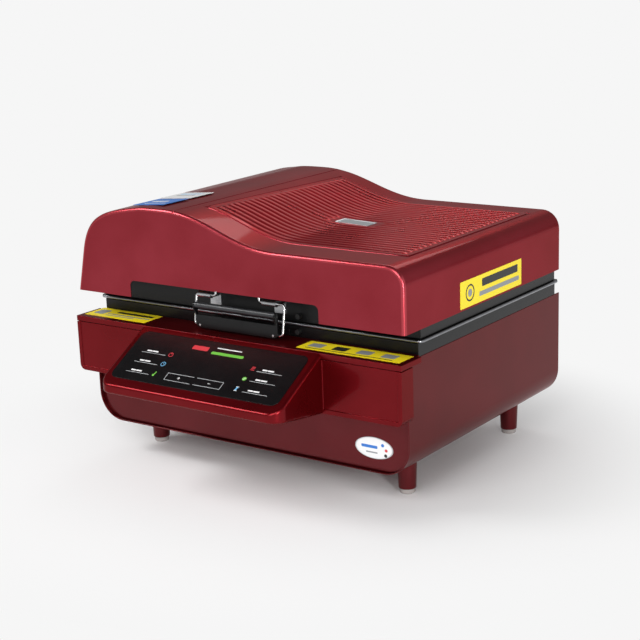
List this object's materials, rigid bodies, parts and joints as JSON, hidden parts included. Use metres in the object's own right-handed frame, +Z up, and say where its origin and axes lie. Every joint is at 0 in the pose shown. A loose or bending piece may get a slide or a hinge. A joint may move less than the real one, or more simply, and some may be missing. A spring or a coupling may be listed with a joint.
{
  "type": "vacuum sublimation heat press",
  "caption": "Benchtop vacuum sublimation oven: hinged S-curved lid with heater, silicone membrane frame, wire bail latch, sloping touch console on a ledge, red base on short legs.",
  "frame": {"origin": "bench level under the centre of the machine's bounding box", "axes": "+X to the right of a person facing the console, +Y to the hinged rear, +Z up"},
  "size_m": [0.62, 0.6162, 0.421],
  "materials": {
    "lid_paint": "metallic candy red enamel, glossy",
    "body_paint": "metallic candy red enamel, glossy",
    "fascia_paint": "metallic candy red enamel, glossy",
    "black_enamel": "semi-gloss black powder coat",
    "pump_enamel": "grey hammered enamel",
    "bright_steel": "bright zinc-plated steel",
    "stainless": "brushed stainless steel",
    "galvanised": "galvanised steel sheet",
    "cast_aluminium": "cast and machined aluminium",
    "silicone_sheet": "translucent silicone rubber",
    "black_rubber": "matt moulded rubber",
    "pale_rubber": "translucent grey-white elastomer",
    "hose_silicone": "translucent silicone tube",
    "grip_plastic": "satin dark plastic",
    "black_plastic": "moulded black plastic",
    "film_black": "glossy polyester touch film",
    "board_green": "solder-masked circuit board",
    "tube_quartz": "frosted quartz infrared tube",
    "ceramic_wool": "white ceramic fibre blanket",
    "badge_plate": "metallic red badge plate, bare"
  },
  "bodies": {
    "base": {"base_wrap": "body_paint", "front_panel": "body_paint", "rear_panel": "body_paint", "wrap_tabs": "galvanised", "panel_screws": "bright_steel", "fascia": "fascia_paint", "ledge": "fascia_paint", "console_housing": "fascia_paint", "touch_film": "film_black", "control_board": "board_green", "vacuum_box": "black_enamel", "box_gasket": "black_rubber", "perforated_bed": "stainless", "bed_feet": "cast_aluminium", "hinge_brackets": "black_enamel", "hinge_pins": "bright_steel", "catch_bracket": "black_enamel", "lid_sensor": "black_plastic", "legs": "body_paint", "foot_pads": "pale_rubber", "fan_frame": "black_plastic", "fan_guard": "bright_steel", "mains_inlet": "black_plastic", "switch_bezel": "black_plastic", "pump_base": "galvanised", "pump_mounts": "black_rubber", "pump_motor": "pump_enamel", "pump_head": "cast_aluminium", "release_valve": "cast_aluminium", "vacuum_hose": "hose_silicone", "power_board": "board_green", "transformer": "galvanised"},
    "lid": {"lid_cover": "lid_paint", "ribbed_panel": "lid_paint", "top_plate": "badge_plate", "heater_box": "black_enamel", "insulation_pad": "ceramic_wool", "heat_reflector": "stainless", "heater_guard": "stainless", "guard_angles": "galvanised", "heating_tubes": "tube_quartz", "tube_holders": "galvanised", "circulation_motor": "galvanised", "cover_posts": "galvanised", "thermocouple": "bright_steel", "lid_hinge_arms": "black_enamel", "bail_barrels": "bright_steel", "sensor_magnet": "black_plastic"},
    "membrane_frame": {"frame_lower": "black_enamel", "membrane": "silicone_sheet", "frame_upper": "black_enamel", "frame_screws": "bright_steel"},
    "bail": {"bail_wires": "bright_steel"},
    "handle": {"latch_handle": "black_enamel", "grip_bar": "grip_plastic", "handle_rivets": "bright_steel"},
    "cooling_rotor": {"fan_rotor": "black_plastic"},
    "circulation_blower": {"circulation_rotor": "galvanised"},
    "pump_shaft": {"pump_rotor": "cast_aluminium"},
    "rocker": {"switch_rocker": "black_plastic"}
  },
  "joints": [
    {"name": "lid_hinge", "type": "hinge", "parent": "base", "child": "lid", "pos_m": [0, 0.30055, 0.262], "axis": [-1, 0, 0], "range_deg": [0, 75], "stiffness_Nm_per_rad": 30, "springref_deg": 85.94},
    {"name": "membrane_hinge", "type": "hinge", "parent": "base", "child": "membrane_frame", "pos_m": [0, 0.30055, 0.262], "axis": [-1, 0, 0], "range_deg": [0, 30]},
    {"name": "bail_swing", "type": "hinge", "parent": "lid", "child": "bail", "pos_m": [0, -0.16145, 0.289], "axis": [-1, 0, 0], "range_deg": [0, 75]},
    {"name": "handle_flip", "type": "hinge", "parent": "bail", "child": "handle", "pos_m": [0, -0.16845, 0.243], "axis": [1, 0, 0], "range_deg": [0, 75]},
    {"name": "cooling_fan_spin", "type": "hinge", "parent": "base", "child": "cooling_rotor", "pos_m": [-0.17, 0.28055, 0.126], "axis": [0, 1, 0], "continuous": true},
    {"name": "circulation_fan_spin", "type": "hinge", "parent": "lid", "child": "circulation_blower", "pos_m": [-0.14, 0.07655, 0.3], "axis": [0, 0, 1], "continuous": true},
    {"name": "pump_spin", "type": "hinge", "parent": "base", "child": "pump_shaft", "pos_m": [0, 0.14055, 0.105], "axis": [1, 0, 0], "continuous": true},
    {"name": "rocker_tilt", "type": "hinge", "parent": "base", "child": "rocker", "pos_m": [0.14, 0.29455, 0.105], "axis": [1, 0, 0], "range_deg": [-16, 0]}
  ],
  "couplings": [
    {"joint": "membrane_hinge", "follows": "lid_hinge", "ratio": 0.4}
  ]
}
